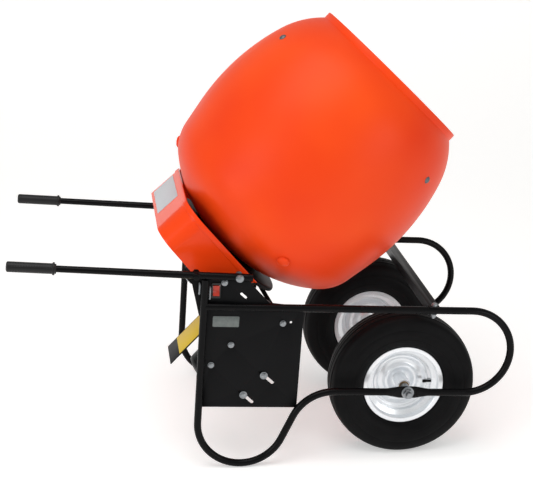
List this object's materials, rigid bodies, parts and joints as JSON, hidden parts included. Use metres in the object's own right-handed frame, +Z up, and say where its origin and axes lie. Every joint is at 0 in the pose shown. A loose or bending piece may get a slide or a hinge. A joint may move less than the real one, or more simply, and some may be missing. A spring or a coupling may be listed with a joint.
{
  "type": "concrete mixer",
  "caption": "Wheelbarrow-style drum mixer: tilted moulded drum on a belt-driven spindle, tube frame with handles, two pneumatic wheels.",
  "frame": {"origin": "on the floor, under the middle of the machine's overall length", "axes": "+X forward, from the handles towards the wheels; +Y to the operator's left; +Z up"},
  "size_m": [1.3513, 0.6734, 1.184],
  "materials": {
    "frame_paint": "gloss black enamel on steel tube",
    "plate_paint": "black enamel on steel plate",
    "brace_steel": "dark grey enamel, worn to a sheen",
    "grip_rubber": "moulded rubber with rows of dimples",
    "black_bolts": "black phosphated steel fasteners",
    "zinc_steel": "zinc-plated steel",
    "tyre_rubber": "pneumatic tyre rubber",
    "rim_paint": "silver-grey enamel on pressed steel",
    "bush_bronze": "sintered bronze",
    "valve_rubber": "black rubber",
    "drum_plastic": "orange polyethylene, satin",
    "paddle_plastic": "orange polyethylene",
    "hood_plastic": "red-orange moulded cover",
    "hood_label_film": "blank pale label film",
    "guard_label_film": "blank yellow label film",
    "name_plate_metal": "blank grey plate",
    "switch_plastic": "black moulded switch body",
    "switch_red": "red moulded rocker",
    "lead_sheath": "grey insulated wire",
    "motor_paint": "dark enamel on steel and cast aluminium",
    "cast_housing": "cast, painted dark",
    "bearing_steel": "ground steel",
    "belt_rubber": "fabric-backed V-belt rubber"
  },
  "bodies": {
    "chassis": {"axle": "zinc_steel", "axle_nuts": "zinc_steel", "axle_spacers": "zinc_steel", "bearing_housing": "cast_housing", "capacitor_box": "switch_plastic", "cross_brace": "brace_steel", "cross_brace_bolts": "zinc_steel", "drive_belt": "belt_rubber", "drive_hood": "hood_plastic", "drum_carrier": "plate_paint", "gearhead": "cast_housing", "grip_left": "grip_rubber", "grip_right": "grip_rubber", "guard_label": "guard_label_film", "handle_bolts": "zinc_steel", "handle_left": "frame_paint", "handle_right": "frame_paint", "hood_label": "hood_label_film", "hood_screws": "black_bolts", "housing_bolts": "black_bolts", "motor_bolts": "zinc_steel", "motor_end_cover": "motor_paint", "motor_foot": "plate_paint", "motor_guard": "plate_paint", "motor_shell": "motor_paint", "name_plate": "name_plate_metal", "output_bush": "bush_bronze", "pedestal_plate_left": "plate_paint", "plate_bolts": "zinc_steel", "side_frame_left": "frame_paint", "side_frame_right": "frame_paint", "side_plate_right": "plate_paint", "spindle_bearings": "bearing_steel", "switch_box": "switch_plastic", "switch_leads": "lead_sheath"},
    "drum": {"drum_shell": "drum_plastic", "paddle_1": "paddle_plastic", "paddle_2": "paddle_plastic", "paddle_3": "paddle_plastic", "paddle_bolts": "zinc_steel", "drum_caps": "drum_plastic", "support_pan": "plate_paint", "pan_bolts": "black_bolts", "spindle": "zinc_steel", "spindle_nut": "black_bolts", "drum_pulley": "cast_housing", "pulley_key": "zinc_steel"},
    "motor_shaft": {"output_shaft": "zinc_steel", "motor_pulley": "cast_housing"},
    "wheel_right": {"tyre_right": "tyre_rubber", "rim_right": "rim_paint", "hub_right": "rim_paint", "wheel_bushes_right": "bush_bronze", "valve_right": "valve_rubber"},
    "wheel_left": {"tyre_left": "tyre_rubber", "rim_left": "rim_paint", "hub_left": "rim_paint", "wheel_bushes_left": "bush_bronze", "valve_left": "valve_rubber"},
    "switch": {"switch_rocker": "switch_red"}
  },
  "joints": [
    {"name": "drum_spin", "type": "hinge", "parent": "chassis", "child": "drum", "pos_m": [-0.12287, 0, 0.49833], "axis": [0.6865, 0, 0.7271], "continuous": true},
    {"name": "motor_shaft_spin", "type": "hinge", "parent": "chassis", "child": "motor_shaft", "pos_m": [-0.01662, -0.205, 0.37051], "axis": [0.6865, 0, 0.7271], "continuous": true},
    {"name": "wheel_right_spin", "type": "hinge", "parent": "chassis", "child": "wheel_right", "pos_m": [0.38485, -0.2226, 0.2032], "axis": [0, 1, 0], "continuous": true},
    {"name": "wheel_left_spin", "type": "hinge", "parent": "chassis", "child": "wheel_left", "pos_m": [0.38485, 0.2226, 0.2032], "axis": [0, 1, 0], "continuous": true},
    {"name": "switch_toggle", "type": "hinge", "parent": "chassis", "child": "switch", "pos_m": [-0.14009, -0.299, 0.50791], "axis": [0.999, 0, -0.0446], "range_deg": [0, 16]}
  ],
  "couplings": [
    {"joint": "motor_shaft_spin", "follows": "drum_spin", "ratio": 4.7377}
  ]
}
